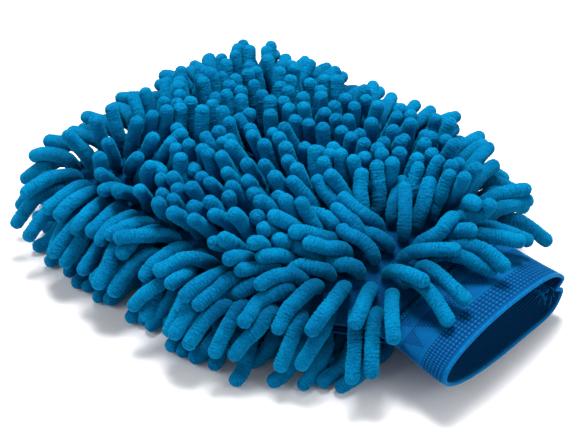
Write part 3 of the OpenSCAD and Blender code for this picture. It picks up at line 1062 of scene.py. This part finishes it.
def looseEnd(start, rng):
    heading = unit(np.array([rng.uniform(-0.1, 0.8), rng.normal(0, 0.7), rng.uniform(-1.2, 0.3)]))
    line = [start]
    for _ in range(trimPlan["looseSteps"]):
        heading = unit(heading + rng.normal(0, trimPlan["looseTurn"], 3) + [0, 0, trimPlan["looseSink"]])
        line.append(line[-1] + heading * rng.uniform(*trimPlan["looseStep"]) * mm)
    return np.array(line)


def makeCuffTrim(outer, inner):
    plan = trimPlan
    rng = np.random.default_rng(plan["seed"])
    rim = spline((outer[-1] + inner[-1]) / 2, plan["edgePoints"], True) + [plan["edgeOut"], 0, 0]
    edge = threadPiece("cuffRolledEdge", [rim], plan["edgeRadius"], True, edgeMaterial(),
                       plan["edgeSides"], plan["edgeSpacing"])
    standFor(edge, "cuff_edge", "cuff_edge")
    knit = groundMaterial("allowanceKnit", plan["flap"], plan["flapKnit"])
    flap = softCopy("cuffSideAllowance", "cuff_side_seam", knit)
    standFor(flap, "cuff_inside", "cuff_side_seam")
    low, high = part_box("cuff_seam_overlock")
    lane = spline(inner[:, 0], plan["lanePoints"], False)
    within = (lane[:, 0] > low[0]) & (lane[:, 0] < high[0] + plan["laneEnd"])
    lane = lane[within] - [0, plan["laneInwards"], 0]
    chain = chainPiece("cuffChain", lane, plan["chainPitch"], plan["chainRadius"], plan["thread"])
    standFor(chain, "thread", "cuff_seam_overlock")
    ends = []
    for _ in range(plan["looseEnds"]):
        start = lane[-1] + rng.normal(0, 1.0, 3) * mm + [0, rng.uniform(-1, 4) * mm, 0]
        ends.append(looseEnd(start, rng))
    loose = threadPiece("cuffLooseThreads", ends, plan["looseRadius"])
    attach(loose, "root")
    ring = spline(outer, 40, False)[plan["seamRing"]]
    ring = spline(ring, plan["seamStitches"] * len(plan["seamSwing"]), True)
    swing = np.tile(plan["seamSwing"], plan["seamStitches"])[:, None] * mm
    outwards = unit((ring - ring.mean(0)) * [0, 1, 4])
    stitches = ring + outwards * plan["seamOut"] + [1, 0, 0] * swing
    seam = threadPiece("wristStitches", [stitches], plan["thread"], True)
    standFor(seam, "thread", "wrist_seam")
    return [edge, flap, chain, loose, seam]


# aside and above turn the view a little, in millimetres on the sensor
cameraPlan = {
    "azimuth": 41.0,
    "elevation": 37.0,
    "distance": 0.6,
    "lens": 77.37,
    "sensor": 36.0,
    "target": (wristX - 80 * mm, middleY, 25 * mm),
    "aside": 1.62,
    "above": -0.12,
    "clipStart": 0.02,
}


def makeCamera():
    plan = cameraPlan
    turn, lift = math.radians(plan["azimuth"]), math.radians(plan["elevation"])
    back = Vector((math.sin(turn) * math.cos(lift), -math.cos(turn) * math.cos(lift), math.sin(lift)))
    right = Vector((math.cos(turn), math.sin(turn), 0))
    up = right.cross(-back)
    camera = bpy.data.objects.new("camera", bpy.data.cameras.new("camera"))
    scene.collection.objects.link(camera)
    camera.location = Vector(plan["target"]) + back * plan["distance"]
    gaze = -back * plan["lens"] - right * plan["aside"] + up * plan["above"]
    camera.rotation_mode = "QUATERNION"
    camera.rotation_quaternion = gaze.to_track_quat("-Z", "Y")
    camera.data.sensor_width = plan["sensor"]
    camera.data.lens = plan["lens"]
    camera.data.clip_start = plan["clipStart"]
    scene.camera = camera


# lamps: place, size and power
stagePlan = {
    "floorSize": 3.0,
    "paper": ((0.86, 0.86, 0.87), (0.92, 0.92, 0.93)),
    "grain": 240.0,
    "paperRoughness": 0.85,
    "sky": 0.38,
    "lamps": {
        "overhead": ((-0.15, 0.2, 1.0), 0.4, 17.0),
        "frontLeft": ((-0.55, -0.75, 0.6), 0.6, 4.0),
        "rightSide": ((0.9, 0.1, 0.55), 0.5, 3.0),
    },
}


def makeFloor():
    mesh = bpy.data.meshes.new("floor")
    work = bmesh.new()
    bmesh.ops.create_grid(work, x_segments=8, y_segments=8, size=stagePlan["floorSize"])
    work.to_mesh(mesh)
    work.free()
    paper = bpy.data.materials.new("palePaper")
    paper.use_nodes = True
    paper.node_tree.nodes.clear()
    graph = Graph(paper.node_tree)
    tone = graph.mix(graph.noise(graph.objectPlace(), stagePlan["grain"], 3.0), *stagePlan["paper"])
    shader = graph.add("ShaderNodeBsdfPrincipled", None,
                       {"Base Color": tone, "Roughness": stagePlan["paperRoughness"]})
    graph.add("ShaderNodeOutputMaterial", None, {"Surface": shader})
    mesh.materials.append(paper)
    placeMesh("floor", mesh)


def makeLight():
    world = bpy.data.worlds.new("studio")
    scene.world = world
    world.use_nodes = True
    background = world.node_tree.nodes["Background"]
    background.inputs["Color"].default_value = (1, 1, 1, 1)
    background.inputs["Strength"].default_value = stagePlan["sky"]
    for name, (spot, size, power) in stagePlan["lamps"].items():
        lamp = bpy.data.objects.new(name, bpy.data.lights.new(name, "AREA"))
        lamp.data.size = size
        lamp.data.energy = power
        lamp.location = spot
        lamp.rotation_euler = (-Vector(spot)).to_track_quat("-Z", "Y").to_euler()
        scene.collection.objects.link(lamp)
    scene.view_settings.view_transform = "Standard"


sewing = threadTree()
thread = threadMaterial()
makeCamera()
makeFloor()
makeLight()
makeBody()
makeCuff()
makeNoodles()
